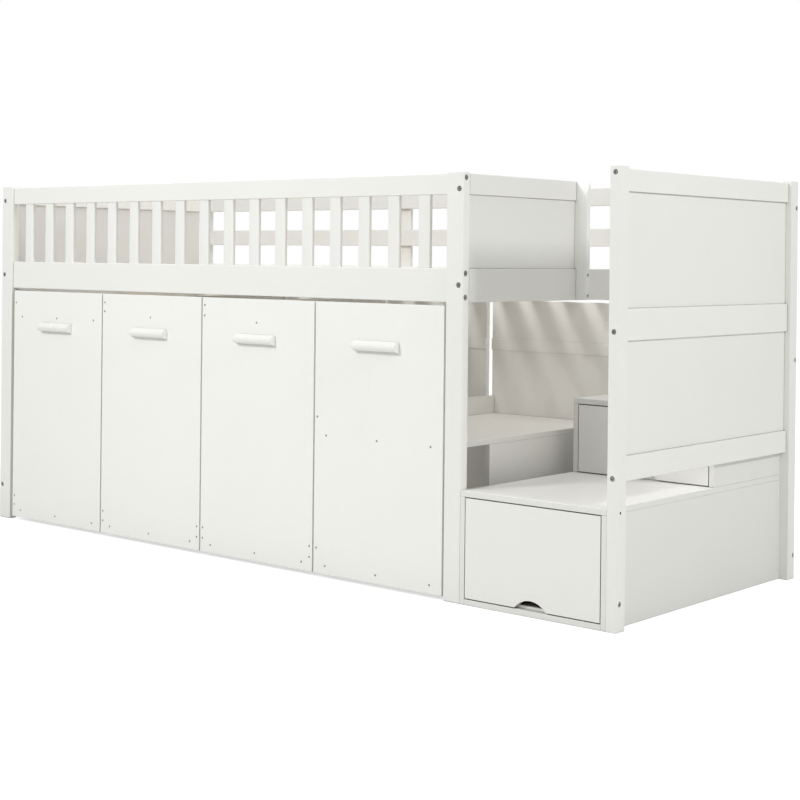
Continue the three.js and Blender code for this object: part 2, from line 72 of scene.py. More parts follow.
lens = bpy.data.cameras.new("camera")
lens.sensor_width = sensor_mm
lens.lens = sensor_mm * lens_focus_px / picture_px
lens.shift_x = side_shift_px / picture_px
lens.shift_y = (horizon_px - picture_px / 2) / picture_px
lens.clip_end = sight_limit
camera = bpy.data.objects.new("camera", lens)
scene.collection.objects.link(camera)
forward = Vector((
    math.sin(heading) * math.cos(tilt), math.cos(heading) * math.cos(tilt), math.sin(tilt),
))
level = Vector((math.cos(heading), -math.sin(heading), 0))
above = level.cross(forward)
right = math.cos(lean) * level + math.sin(lean) * above
up = math.cos(lean) * above - math.sin(lean) * level
turn = Matrix((right, up, -forward)).transposed().to_4x4()
camera.matrix_world = Matrix.Translation(camera_place) @ turn
scene.camera = camera


def link_nodes(tree, source, output, target, entry):
    tree.links.new(source.outputs[output], target.inputs[entry])


glow_tone, glow_strength = (0.987, 1, 0.972, 1), 0.61
sky = bpy.data.worlds.new("studio_walls")
sky.use_nodes = True
walls = sky.node_tree
glow = walls.nodes["Background"]
glow.inputs["Color"].default_value = glow_tone
glow.inputs["Strength"].default_value = glow_strength
backdrop = walls.nodes.new("ShaderNodeBackground")
backdrop.inputs["Color"].default_value = (1, 1, 1, 1)
seen = walls.nodes.new("ShaderNodeLightPath")
either = walls.nodes.new("ShaderNodeMixShader")
link_nodes(walls, seen, "Is Camera Ray", either, "Fac")
link_nodes(walls, glow, "Background", either, 1)
link_nodes(walls, backdrop, "Background", either, 2)
link_nodes(walls, either, "Shader", walls.nodes["World Output"], "Surface")
scene.world = sky


def soft_box(name, place, target, size, power):
    lamp = bpy.data.lights.new(name, "AREA")
    lamp.shape = "RECTANGLE"
    lamp.size, lamp.size_y = size
    lamp.energy = power
    holder = bpy.data.objects.new(name, lamp)
    scene.collection.objects.link(holder)
    holder.location = place
    holder.rotation_euler = (Vector(target) - Vector(place)).to_track_quat("-Z", "Y").to_euler()


soft_box("front_light", (-0.75, -3.82, 3.13), (0.45, 0.37, 0.68), (0.7, 0.7), 78)
soft_box("side_light", (4.85, -0.75, 2.83), (0.79, -0.28, 0.96), (0.45, 0.62), 66)
soft_box("overhead_light", (0.3, 0.1, 4.4), (0.3, 0.1, 0.5), (2.4, 1.6), 70)


def placed(name, mesh):
    """The mesh as an object of that name at the origin."""
    mesh.name = name
    piece = bpy.data.objects.new(name, mesh)
    scene.collection.objects.link(piece)
    return piece


def as_object(name, form):
    """A mesh in the making as an object at the origin; the form is used up."""
    mesh = bpy.data.meshes.new(name)
    form.to_mesh(mesh)
    form.free()
    return placed(name, mesh)


def new_finish(name):
    """A fresh material, its node tree and its shader."""
    finish = bpy.data.materials.new(name)
    finish.use_nodes = True
    return finish, finish.node_tree, finish.node_tree.nodes["Principled BSDF"]


floor_half_width, floor_drop = 14, 0.0005
floor_tone, floor_whitening = (0.72, 0.72, 0.705, 1), 0.62
floor_form = bmesh.new()
bmesh.ops.create_grid(floor_form, x_segments=1, y_segments=1, size=floor_half_width)
floor = as_object("floor", floor_form)
floor.location.z = -floor_drop
floor_finish, tree, paper = new_finish("floor_paper")
paper.inputs["Base Color"].default_value = floor_tone
paper.inputs["Roughness"].default_value = 0.9
paper.inputs["Specular IOR Level"].default_value = 0.1
paper.inputs["Emission Color"].default_value = (1, 1, 1, 1)
lit_paper = tree.nodes.new("ShaderNodeLightPath")
whiten = tree.nodes.new("ShaderNodeMath")
whiten.operation = "MULTIPLY"
whiten.inputs[1].default_value = floor_whitening
link_nodes(tree, lit_paper, "Is Camera Ray", whiten, 0)
link_nodes(tree, whiten, "Value", paper, "Emission Strength")
floor.data.materials.append(floor_finish)

# Six posts of planed softwood, about 30 mm thick, sprayed satin white. The
# bolts that hold the rails sit in counterbored holes near their edges, and the
# right front post has one bare pilot hole besides.

post_white, hole_brown = (0.80, 0.798, 0.776), (0.22, 0.115, 0.07)
post_round = 0.0035
bolt_hole_radius, bolt_hole_depth = 0.0068, 0.009
pilot_hole_radius, pilot_hole_depth = 0.0032, 0.012


def mottled(tree, place, output, scale, detail):
    """A noise texture on the given coordinates."""
    noise = tree.nodes.new("ShaderNodeTexNoise")
    noise.inputs["Scale"].default_value = scale
    noise.inputs["Detail"].default_value = detail
    link_nodes(tree, place, output, noise, "Vector")
    return noise


def drawn_out(tree, place, along, squeeze):
    """Coordinates squeezed on one axis, so that a pattern on them runs out along it."""
    stretch = tree.nodes.new("ShaderNodeMapping")
    stretch.inputs["Scale"].default_value = [squeeze if axis == along else 1.0 for axis in "XYZ"]
    link_nodes(tree, place, "Object", stretch, "Vector")
    return stretch


def ranged(tree, source, output, low, high, start=0, end=1):
    """The source's values from start to end, set to run from low to high."""
    reach = tree.nodes.new("ShaderNodeMapRange")
    reach.inputs["From Min"].default_value = start
    reach.inputs["From Max"].default_value = end
    reach.inputs["To Min"].default_value = low
    reach.inputs["To Max"].default_value = high
    link_nodes(tree, source, output, reach, "Value")
    return reach


def tinted(tone, share):
    return [min(1, part * share) for part in tone] + [1]


def two_tones(tree, source, output, first, second):
    """Two colours, mixed as the source says."""
    mix = tree.nodes.new("ShaderNodeMix")
    mix.data_type = "RGBA"
    mix.inputs["A"].default_value = first
    mix.inputs["B"].default_value = second
    link_nodes(tree, source, output, mix, "Factor")
    return mix


def raised_by(tree, source, depth, strength=1.0):
    """A fine relief that follows the source."""
    bump = tree.nodes.new("ShaderNodeBump")
    bump.inputs["Strength"].default_value = strength
    bump.inputs["Distance"].default_value = depth
    link_nodes(tree, source, "Fac", bump, "Height")
    return bump


def painted_board(name, tone, along, gloss=(0.36, 0.46)):
    """Sprayed paint that lets the grain show faintly along one axis, with painted shade darkening
    it in joints and crevices.
    """
    finish, tree, paint = new_finish(name)
    place = tree.nodes.new("ShaderNodeTexCoord")
    stretch = drawn_out(tree, place, along, squeeze=0.035)
    grain = mottled(tree, stretch, "Vector", scale=170, detail=5)
    grain.inputs["Roughness"].default_value = 0.62
    peel = mottled(tree, place, "Object", scale=1400, detail=2)
    cloud = mottled(tree, place, "Object", scale=3.1, detail=3)

    grain_share, cloud_share = 0.45, 0.55
    soften = tree.nodes.new("ShaderNodeMath")
    soften.operation = "MULTIPLY"
    soften.inputs[1].default_value = cloud_share
    link_nodes(tree, cloud, "Fac", soften, 0)
    streak = tree.nodes.new("ShaderNodeMath")
    streak.operation = "MULTIPLY_ADD"
    streak.inputs[1].default_value = grain_share
    link_nodes(tree, grain, "Fac", streak, 0)
    link_nodes(tree, soften, "Value", streak, 2)
    dull, bright = 0.965, 1.025
    shade = two_tones(tree, streak, "Value", tinted(tone, dull), tinted(tone, bright))

    # Painted shade: ambient occlusion darkens the colour in joints, gaps and under proud rails.
    crevice = tree.nodes.new("ShaderNodeAmbientOcclusion")
    crevice.samples = 6
    crevice.inputs["Distance"].default_value = 0.006
    dust_and_joint_shade = ranged(tree, crevice, "AO", low=0.22, high=1, start=0.12, end=0.6)
    joint_shaded = tree.nodes.new("ShaderNodeMix")
    joint_shaded.data_type = "RGBA"
    joint_shaded.blend_type = "MULTIPLY"
    joint_shaded.inputs["Factor"].default_value = 1
    link_nodes(tree, shade, "Result", joint_shaded, "A")
    link_nodes(tree, dust_and_joint_shade, "Result", joint_shaded, "B")
    link_nodes(tree, joint_shaded, "Result", paint, "Base Color")

    sheen = ranged(tree, cloud, "Fac", *gloss, start=0.3, end=0.7)
    link_nodes(tree, sheen, "Result", paint, "Roughness")
    fine = raised_by(tree, peel, depth=0.00015, strength=0.12)
    relief = raised_by(tree, grain, depth=0.0003, strength=0.25)
    link_nodes(tree, fine, "Normal", relief, "Normal")
    link_nodes(tree, relief, "Normal", paint, "Normal")
    return finish


def add_board(form, low, high):
    """One squared board between two corners, added to a mesh in the making."""
    made = bmesh.ops.create_cube(form, size=1)["verts"]
    low, high = Vector(low), Vector(high)
    spread = Matrix.Diagonal((*(high - low), 1))
    bmesh.ops.transform(form, matrix=Matrix.Translation((low + high) / 2) @ spread, verts=made)


def finished(name, form, finish, rounding=0.0, steps=3):
    """The mesh as an object at the origin, its long edges eased by a small round."""
    piece = as_object(name, form)
    piece.data.materials.append(finish)
    if rounding:
        for face in piece.data.polygons:
            face.use_smooth = True
        ease = piece.modifiers.new("eased_edges", "BEVEL")
        ease.width = rounding
        ease.segments = steps
        ease.limit_method = "ANGLE"
        ease.angle_limit = math.radians(40)
        ease.harden_normals = True
    return piece


def settled_mesh(thing):
    """The object's mesh with its modifiers applied; the object is used up."""
    bpy.context.view_layer.update()
    shown = thing.evaluated_get(bpy.context.evaluated_depsgraph_get())
    mesh = bpy.data.meshes.new_from_object(shown)
    bpy.data.objects.remove(thing)
    return mesh


def cut_away(name, form, bits):
    """The first mesh less the second, as a mesh in the making; both are used up."""
    blank, cutter = as_object(name, form), as_object(name + "_cutter", bits)
    cut = blank.modifiers.new("cutting", "BOOLEAN")
    cut.object = cutter
    cut.solver = "EXACT"
    result = settled_mesh(blank)
    left_over = bmesh.new()
    left_over.from_mesh(result)
    bpy.data.objects.remove(cutter)
    bpy.data.meshes.remove(result)
    return left_over


def drilled(name, form, holes, sides=32):
    """The same mesh with round holes, each given as place, direction inwards, radius and depth."""
    bits = bmesh.new()
    for place, inwards, radius, depth in holes:
        aim = Vector(inwards).to_track_quat("Z", "Y").to_matrix().to_4x4()
        bmesh.ops.create_cone(
            bits, cap_ends=True, segments=sides, radius1=radius, radius2=radius,
            depth=2 * depth, matrix=Matrix.Translation(place) @ aim,
        )
    return cut_away(name, form, bits)


def stand_in(piece, body, slot, *cad_nodes):
    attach(piece, body)
    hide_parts(*cad_nodes)


paint_z = painted_board("white_paint_upright", post_white, "Z")
hole_wood = painted_board("bare_wood_in_hole", hole_brown, "X")
left, end_face = solid_box[0].x, solid_box[1].x
stair_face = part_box("middle_front_post")[1].x
front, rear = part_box("left_front_post")[0].y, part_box("left_rear_post")[1].y
left_inset, middle_inset, right_inset = 0.0126, 0.0154, 0.0146
middle_side_inset, right_side_inset, rear_side_inset = 0.0148, 0.017, 0.0065
left_bolts = [(left + left_inset, front, z) for z in (1.1209, 0.860, 0.117)]
middle_bolts = [(stair_face - middle_inset, front, z) for z in (1.1229, 0.8614)]
middle_side_bolts = [
    (stair_face, front + middle_side_inset, z) for z in (1.1536, 0.8932, 0.8283)
]
right_bolts = [(end_face - right_inset, front, z) for z in (1.1546, 0.7539, 0.3859)]
right_side_bolts = [(end_face, front + right_side_inset, 0.0704)]
right_pilot = Vector((end_face, front + right_side_inset, 0.2996))
rear_side_bolts = [(end_face, rear - rear_side_inset, z) for z in (1.0921, 0.6447, 0.0694)]
backwards, leftwards = (0, 1, 0), (-1, 0, 0)
post_holes = {
    "left_front_post": ((left_bolts, backwards),),
    "middle_front_post": ((middle_bolts, backwards), (middle_side_bolts, leftwards)),
    "right_front_post": ((right_bolts, backwards), (right_side_bolts, leftwards)),
    "right_rear_post": ((rear_side_bolts, leftwards),),
    "left_rear_post": (),
    "middle_rear_post": (),
}
hole_margin = 0.0001
for node, rows in post_holes.items():
    timber = bmesh.new()
    add_board(timber, *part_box(node))
    cuts = [
        (Vector(spot), inwards, bolt_hole_radius, bolt_hole_depth)
        for spots, inwards in rows for spot in spots
    ]
    if node == "right_front_post":
        cuts.append((right_pilot, leftwards, pilot_hole_radius, pilot_hole_depth))
    if cuts:
        timber = drilled(node + "_blank", timber, cuts)
    post = finished(node + "_timber", timber, paint_z, post_round)
    if node == "right_front_post":
        post.data.materials.append(hole_wood)
        for face in post.data.polygons:
            away = face.center - right_pilot
            off_axis = math.hypot(away.y, away.z)
            if off_axis < pilot_hole_radius + hole_margin and away.x < -hole_margin:
                face.material_index = 1
    stand_in(post, "frame", "white_paint", node)

# The long front: a deep side rail with the ledge that carries the slats, and
# a guard of flat upright slats let into a softly rounded top rail.

rail_white = (0.805, 0.803, 0.78)
rail_round = 0.0025
rail_thickness = 0.0185
ledge_top, ledge_height, ledge_lap = 0.843, 0.024, 0.001
paint_x = painted_board("white_paint_lengthwise", rail_white, "X")

low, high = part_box("front_side_rail")
rail_back = low.y + rail_thickness
ledge_low = (low.x, rail_back - ledge_lap, ledge_top - ledge_height)
timber = bmesh.new()
add_board(timber, low, (high.x, rail_back, high.z))
add_board(timber, ledge_low, (high.x, high.y, ledge_top))
side_rail = finished("front_side_rail_timber", timber, paint_x, rail_round)
stand_in(side_rail, "frame", "white_paint", "front_side_rail")

guard_low, guard_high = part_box("front_guard")
guard_rail_height = 0.0575
guard_rail_bottom = guard_high.z - guard_rail_height
timber = bmesh.new()
add_board(timber, (guard_low.x, guard_low.y, guard_rail_bottom), guard_high)
guard_rail = finished("front_guard_top_rail", timber, paint_x, rail_round)
stand_in(guard_rail, "frame", "white_paint", "front_guard")


def tree_socket(tree, title, kind, way="INPUT"):
    return tree.interface.new_socket(name=title, in_out=way, socket_type="NodeSocket" + kind)


def slat_row(name, count, first, step, width, thickness, length, turn, rounding, finish):
    """A row of like slats: a rounded rectangle swept along its length, set out at equal steps."""
    given_sizes = {
        "Slat width": ("Float", width),
        "Slat thickness": ("Float", thickness),
        "Slat length": ("Float", length),
        "Edge radius": ("Float", rounding),
        "First slat": ("Vector", first),
        "Step": ("Vector", step),
        "Turn": ("Vector", turn),
        "Slat count": ("Int", count),
        "Finish": ("Material", finish),
    }
    tree = bpy.data.node_groups.new(name + "_row", "GeometryNodeTree")
    tree_socket(tree, "Geometry", "Geometry")
    entries = {title: tree_socket(tree, title, kind) for title, (kind, _) in given_sizes.items()}
    tree_socket(tree, "Geometry", "Geometry", "OUTPUT")

    given = tree.nodes.new("NodeGroupInput")
    section = tree.nodes.new("GeometryNodeCurvePrimitiveQuadrilateral")
    link_nodes(tree, given, "Slat width", section, "Width")
    link_nodes(tree, given, "Slat thickness", section, "Height")
    eased = tree.nodes.new("GeometryNodeFilletCurve")
    eased.mode = "POLY"
    eased.inputs["Count"].default_value = 4
    link_nodes(tree, section, "Curve", eased, "Curve")
    link_nodes(tree, given, "Edge radius", eased, "Radius")
    reach = tree.nodes.new("ShaderNodeCombineXYZ")
    link_nodes(tree, given, "Slat length", reach, "Z")
    path = tree.nodes.new("GeometryNodeCurvePrimitiveLine")
    link_nodes(tree, reach, "Vector", path, "End")
    sweep = tree.nodes.new("GeometryNodeCurveToMesh")
    sweep.inputs["Fill Caps"].default_value = True
    link_nodes(tree, path, "Curve", sweep, "Curve")
    link_nodes(tree, eased, "Curve", sweep, "Profile Curve")
    places = tree.nodes.new("GeometryNodeMeshLine")
    link_nodes(tree, given, "Slat count", places, "Count")
    link_nodes(tree, given, "First slat", places, "Start Location")
    link_nodes(tree, given, "Step", places, "Offset")
    row = tree.nodes.new("GeometryNodeInstanceOnPoints")
    link_nodes(tree, places, "Mesh", row, "Points")
    link_nodes(tree, sweep, "Mesh", row, "Instance")
    link_nodes(tree, given, "Turn", row, "Rotation")
    real = tree.nodes.new("GeometryNodeRealizeInstances")
    link_nodes(tree, row, "Instances", real, "Geometry")
    coat = tree.nodes.new("GeometryNodeSetMaterial")
    link_nodes(tree, real, "Geometry", coat, "Geometry")
    link_nodes(tree, given, "Finish", coat, "Material")
    out = tree.nodes.new("NodeGroupOutput")
    link_nodes(tree, coat, "Geometry", out, "Geometry")

    seed = placed(name + "_setting_out", bpy.data.meshes.new(name + "_setting_out"))
    maker = seed.modifiers.new("row", "NODES")
    maker.node_group = tree
    for title, (_, value) in given_sizes.items():
        maker[entries[title].identifier] = value
    mesh = settled_mesh(seed)
    form = bmesh.new()
    form.from_mesh(mesh)
    bmesh.ops.recalc_face_normals(form, faces=form.faces)
    form.to_mesh(mesh)
    form.free()
    return placed(name, mesh)


guard_count = 17
guard_slat_width, guard_slat_thickness, slat_round = 0.042, 0.012, 0.003
guard_tenon, guard_end_gap = 0.008, 0.065
guard_span = guard_high.x - guard_low.x - 2 * guard_end_gap - guard_slat_width
guard_pitch = guard_span / (guard_count - 1)
guard_left = guard_low.x + guard_end_gap + guard_slat_width / 2
guard_start = (guard_left, guard_low.y + rail_thickness / 2, guard_low.z)
guard_length = guard_rail_bottom + guard_tenon - guard_low.z
guard_slats = slat_row(
    "front_guard_slats", guard_count, guard_start, (guard_pitch, 0, 0),
    guard_slat_width, guard_slat_thickness, guard_length, (0, 0, 0), slat_round, paint_z,
)
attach(guard_slats, "frame")

# The rear: three lengthwise rails that run on behind the stairs, one of them
# with a ledge for the slats, and one upright screwed on behind them. The two
# upper rails get a darker tone of the same white paint, which is painted shade.

rear_rail_shaded_white = (0.735, 0.735, 0.725)
rear_rail_thickness = 0.018
rear_rail_paint = painted_board("white_paint_rear_rail", rear_rail_shaded_white, "X")


def plain_board(node, kind, finish, rounding, body="frame", slot="white_paint"):
    """A squared board that fills its CAD node's box and stands in for the node."""
    timber = bmesh.new()
    add_board(timber, *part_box(node))
    stand_in(finished(node + kind, timber, finish, rounding), body, slot, node)


plain_board("rear_top_rail", "_timber", rear_rail_paint, rail_round)
plain_board("rear_middle_rail", "_timber", rear_rail_paint, rail_round)
plain_board("rear_centre_post", "_timber", paint_z, rail_round)

low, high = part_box("rear_side_rail")
rail_face = high.y - rear_rail_thickness
ledge_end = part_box("front_side_rail")[1].x
ledge_low = (low.x, low.y, ledge_top - ledge_height)
timber = bmesh.new()
add_board(timber, (low.x, rail_face, low.z), high)
add_board(timber, ledge_low, (ledge_end, rail_face + ledge_lap, ledge_top))
rear_rail = finished("rear_side_rail_timber", timber, paint_x, rail_round)
stand_in(rear_rail, "frame", "white_paint", "rear_side_rail")

# Both end frames and the frame beside the stairs: rails of solid timber with
# thin panels set back in them, painted like the posts. The frame beside the
# stairs and the far panel get darker tones of the same paint, which is painted shade.

panel_white, far_panel_shaded_white = (0.79, 0.787, 0.765), (0.67, 0.668, 0.655)
inner_rail_shaded_white, inner_panel_shaded_white = (0.755, 0.748, 0.725), (0.735, 0.73, 0.708)
panel_gloss = (0.42, 0.5)
panel_round, panel_lap = 0.001, 0.004
left_lower_rail_height = 0.064
paint_y = painted_board("white_paint_crosswise", rail_white, "Y")
panel_paint = painted_board("white_paint_panel", panel_white, "Z", panel_gloss)
inner_rail_paint = painted_board("white_paint_inner_rail", inner_rail_shaded_white, "Y")
inner_panel_paint = painted_board(
    "white_paint_inner_panel", inner_panel_shaded_white, "Z", panel_gloss,
)
far_panel_paint = painted_board("white_paint_far_panel", far_panel_shaded_white, "Z", panel_gloss)
cross_rails = {
    "left_top_rail": paint_y,
    "left_middle_rail": paint_y,
    "right_top_rail": paint_y,
    "right_middle_rail": paint_y,
    "right_lower_rail": paint_y,
    "middle_cross_rail": inner_rail_paint,
    "middle_top_rail": inner_rail_paint,
}
for node, finish in cross_rails.items():
    plain_board(node, "_timber", finish, rail_round)
panels = {
    "left_upper_panel": far_panel_paint,
    "right_upper_panel": panel_paint,
    "right_lower_panel": panel_paint,
    "middle_panel": inner_panel_paint,
}
for node, finish in panels.items():
    plain_board(node, "_sheet", finish, panel_round)

low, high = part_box("left_lower_panel")
upper_low, upper_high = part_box("left_upper_panel")
lower_rail_top = low.z + left_lower_rail_height
sheet_low = (upper_low.x, low.y, lower_rail_top - panel_lap)
timber = bmesh.new()
add_board(timber, low, (high.x, high.y, lower_rail_top))
add_board(timber, sheet_low, (upper_high.x, high.y, high.z))
lower_frame = finished("left_lower_panel_timber", timber, paint_y, panel_round)
stand_in(lower_frame, "frame", "white_paint", "left_lower_panel")

# The post to climb past: a board on edge, notched over the cross rail, with
# its upper outer corner sawn off at a slant so that nobody knocks against it.

entry_round = 0.0015
entry_bolt_inset, entry_hole_radius = 0.0088, 0.0048


def merged_copy(node):
    """The node's own shape as one clean mesh in the making."""
    form = bmesh.new()
    form.from_mesh(nodes[node].data)
    bmesh.ops.remove_doubles(form, verts=form.verts, dist=1e-5)
    bmesh.ops.dissolve_limit(
        form, angle_limit=math.radians(1), verts=form.verts, edges=form.edges,
    )
    return form


low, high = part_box("entry_post")
entry_bolts = [(high.x, low.y + entry_bolt_inset, z) for z in (0.8887, 0.8275)]
cuts = [(Vector(spot), leftwards, entry_hole_radius, bolt_hole_depth) for spot in entry_bolts]
timber = drilled("entry_post_blank", merged_copy("entry_post"), cuts)
entry_post = finished("entry_post_timber", timber, paint_z, entry_round)
stand_in(entry_post, "frame", "white_paint", "entry_post")

# The mattress base: sixteen bare pine slats laid across on the two ledges,
# kept apart by two woven straps tacked to their undersides.

pine_light, pine_dark = (0.80, 0.72, 0.60, 1), (0.68, 0.57, 0.44, 1)
strap_light, strap_dark = (0.66, 0.63, 0.56, 1), (0.42, 0.40, 0.35, 1)
base_count = 16
base_slat_width, base_slat_thickness = 0.065, 0.018
strap_width, strap_thickness, strap_inset, strap_round = 0.030, 0.0016, 0.140, 0.0004


def bare_pine(name, along):
    finish, tree, wood = new_finish(name)
    place = tree.nodes.new("ShaderNodeTexCoord")
    stretch = drawn_out(tree, place, along, squeeze=0.06)
    rings = mottled(tree, stretch, "Vector", scale=48, detail=7)
    rings.inputs["Distortion"].default_value = 0.8
    pores = mottled(tree, stretch, "Vector", scale=620, detail=3)
    tones = tree.nodes.new("ShaderNodeValToRGB")
    tones.color_ramp.elements[0].position = 0.36
    tones.color_ramp.elements[0].color = pine_dark
    tones.color_ramp.elements[1].position = 0.58
    tones.color_ramp.elements[1].color = pine_light
    link_nodes(tree, rings, "Fac", tones, "Fac")
    link_nodes(tree, tones, "Color", wood, "Base Color")
    dull = ranged(tree, pores, "Fac", low=0.55, high=0.75)
    link_nodes(tree, dull, "Result", wood, "Roughness")
    relief = raised_by(tree, pores, depth=0.0004, strength=0.35)
    link_nodes(tree, relief, "Normal", wood, "Normal")
    return finish


pine = bare_pine("bare_pine", "Y")
base_low, base_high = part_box("slat_base")
base_pitch = (base_high.x - base_low.x - base_slat_width) / (base_count - 1)
base_start = (
    base_low.x + base_slat_width / 2, base_high.y, base_high.z - base_slat_thickness / 2,
)
base_slats = slat_row(
    "bed_slats", base_count, base_start, (base_pitch, 0, 0),
    base_slat_width, base_slat_thickness, base_high.y - base_low.y,
    (math.radians(90), 0, 0), slat_round, pine,
)
stand_in(base_slats, "frame", "slat_wood", "slat_base")

strap_cloth, tree, weave = new_finish("woven_strap")
weave.inputs["Roughness"].default_value = 0.85
place = tree.nodes.new("ShaderNodeTexCoord")
ribs = tree.nodes.new("ShaderNodeTexWave")
ribs.bands_direction = "X"
ribs.inputs["Scale"].default_value = 130
ribs.inputs["Distortion"].default_value = 0.6
link_nodes(tree, place, "Object", ribs, "Vector")
threads = tree.nodes.new("ShaderNodeValToRGB")
threads.color_ramp.elements[0].color = strap_dark
threads.color_ramp.elements[1].color = strap_light
link_nodes(tree, ribs, "Fac", threads, "Fac")
link_nodes(tree, threads, "Color", weave, "Base Color")
link_nodes(tree, raised_by(tree, ribs, depth=0.0004), "Normal", weave, "Normal")
inner_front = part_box("front_side_rail")[0].y + rail_thickness
inner_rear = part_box("left_rear_post")[0].y
strap_top = base_high.z - base_slat_thickness
cloth = bmesh.new()
for middle in (inner_front + strap_inset, inner_rear - strap_inset):
    add_board(
        cloth, (base_low.x, middle - strap_width / 2, strap_top - strap_thickness),
        (base_high.x, middle + strap_width / 2, strap_top),
    )
straps = finished("slat_straps", cloth, strap_cloth, strap_round, steps=2)
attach(straps, "frame")

# The stairs: two open-fronted boxes of lacquered board, one on the other,
# each tread lapping over the sides and back of its box.

# The boards' white is a darker tone than the posts' paint, which is painted shade; the drawer
# trays share it.
stair_board_shaded_white, board_gloss = (0.745, 0.74, 0.72), (0.4, 0.5)
board_round = 0.0012
lacquer_x = painted_board("white_lacquer_wide", stair_board_shaded_white, "X", board_gloss)
lacquer_y = painted_board("white_lacquer_deep", stair_board_shaded_white, "Y", board_gloss)
stair_boards = {
    "lower_step": ("left_side", "right_side", "base", "back", "tread"),
    "upper_step": ("left_side", "right_side", "back", "tread"),
}
for step, boards in stair_boards.items():
    for board in boards:
        finish = lacquer_x if board == "back" else lacquer_y
        plain_board(step + "_" + board, "_board", finish, board_round, slot="white_board")

# Two drawers: a flush front with a round finger notch in its lower edge, and
# behind it an open tray of thinner boards.

drawer_white = (0.80, 0.793, 0.77)
tray_wall, tray_floor, tray_round = 0.012, 0.008, 0.0006
notch_width, notch_height, notch_sides, notch_reach = 0.102, 0.0235, 192, 0.03
notch_radius = (notch_width ** 2 / 4 + notch_height ** 2) / (2 * notch_height)
drawer_paint = painted_board("white_lacquer_drawer", drawer_white, "Z", board_gloss)
for drawer in ("lower_drawer", "upper_drawer"):
    low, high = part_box(drawer + "_front")
    timber = bmesh.new()
    add_board(timber, low, high)
    centre = Vector(((low.x + high.x) / 2, low.y, low.z + notch_height - notch_radius))
    notch = [(centre, backwards, notch_radius, notch_reach)]
    face = drilled(drawer + "_front_blank", timber, notch, notch_sides)
    notched_front = finished(drawer + "_front_board", face, drawer_paint, board_round)
    stand_in(notched_front, drawer, "white_board", drawer + "_front")

    low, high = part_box(drawer + "_box")
    inner_left, inner_right = low.x + tray_wall, high.x - tray_wall
    back_low = (inner_left, high.y - tray_wall, low.z + tray_floor)
    timber = bmesh.new()
    add_board(timber, low, (high.x, high.y, low.z + tray_floor))
    add_board(timber, low, (inner_left, high.y, high.z))
    add_board(timber, (inner_right, low.y, low.z), high)
    add_board(timber, back_low, (inner_right, high.y, high.z))
    tray = finished(drawer + "_tray", timber, lacquer_y, tray_round)
    stand_in(tray, drawer, "white_board", drawer + "_box")

# Four roll-out units: a tall front, a base, a tall back with a cross cleat and
# low or high rails between, all of 16 mm lacquered board.

unit_names = ["shelf_unit", "wardrobe_unit_left", "wardrobe_unit_right", "desk_unit"]
# The boards inside the units and the desk top have a lighter white than the fronts, which is
# painted light standing in for more light inside.
front_white, inside_brightened_white = (0.84, 0.84, 0.816), (0.95, 0.935, 0.905)
front_gloss, front_round = (0.38, 0.46), 0.0015
thick = 0.016
unit_base_bottom, low_rail_height = 0.028, 0.0555
shelf_bottom, upper_rail_top, upper_rail_height = 0.706, 0.7935, 0.0595
cleat_top, cleat_height, cleat_thickness = 0.671, 0.038, 0.005
desk_upstand_top, desk_side_front, desk_top_bottom = 0.481, 0.223, 0.4075
back_inset = 0.009
unit_base_top = unit_base_bottom + thick
low_rail_top = unit_base_top + low_rail_height
front_paint = painted_board("white_paint_unit_front", front_white, "Z", front_gloss)
inside_lacquer = painted_board("white_lacquer_inside", inside_brightened_white, "Y", board_gloss)
top_lacquer = painted_board("white_lacquer_desk_top", inside_brightened_white, "X", board_gloss)

for unit in unit_names:
    plain_board(unit + "_front", "_board", front_paint, front_round, unit)

    low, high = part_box(unit + "_carcass")
    face_low, face_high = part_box(unit + "_front")
    back_left, back_right = face_low.x + back_inset, face_high.x - back_inset
    side_right = low.x + thick
    back = high.y - thick
    cleat_low = (back_left, back - cleat_thickness, cleat_top - cleat_height)
    timber = bmesh.new()
    add_board(timber, (low.x, low.y, unit_base_bottom), (high.x, high.y, unit_base_top))
    add_board(timber, (back_left, back, unit_base_top), (back_right, high.y, high.z))
    add_board(timber, cleat_low, (back_right, back, cleat_top))
    add_board(timber, (low.x, low.y, unit_base_top), (side_right, back, low_rail_top))
    if unit == "desk_unit":
        knee = (high.x - thick, front + desk_side_front, unit_base_top)
        add_board(timber, (low.x, low.y, desk_top_bottom), (side_right, back, desk_upstand_top))
        add_board(timber, knee, (high.x, back, desk_top_bottom))
    if unit == "shelf_unit":
        shelf_top = shelf_bottom + thick
        add_board(timber, (low.x, low.y, shelf_bottom), (high.x, back, shelf_top))
        add_board(timber, (low.x, low.y, shelf_top), (side_right, back, upper_rail_top))
    if unit.startswith("wardrobe"):
        upper_rail_low = (low.x, low.y, upper_rail_top - upper_rail_height)
        add_board(timber, (high.x - thick, low.y, unit_base_top), (high.x, back, low_rail_top))
        add_board(timber, upper_rail_low, (side_right, back, upper_rail_top))
    boards = finished(unit + "_boards", timber, inside_lacquer, board_round)
    stand_in(boards, unit, "white_board", unit + "_carcass")

plain_board("desk_top", "_board", top_lacquer, board_round, "desk_unit", "white_board")

# Hanging rods: a round steel tube from front to back in each wardrobe unit,
# held by a cup-shaped socket at either end.

rod_tone, rod_roughness = (0.60, 0.60, 0.59), 0.22
rod_radius, rod_height, rod_sides = 0.0125, 0.733, 40
socket_radius, socket_depth, socket_edge = 0.0185, 0.009, 0.001


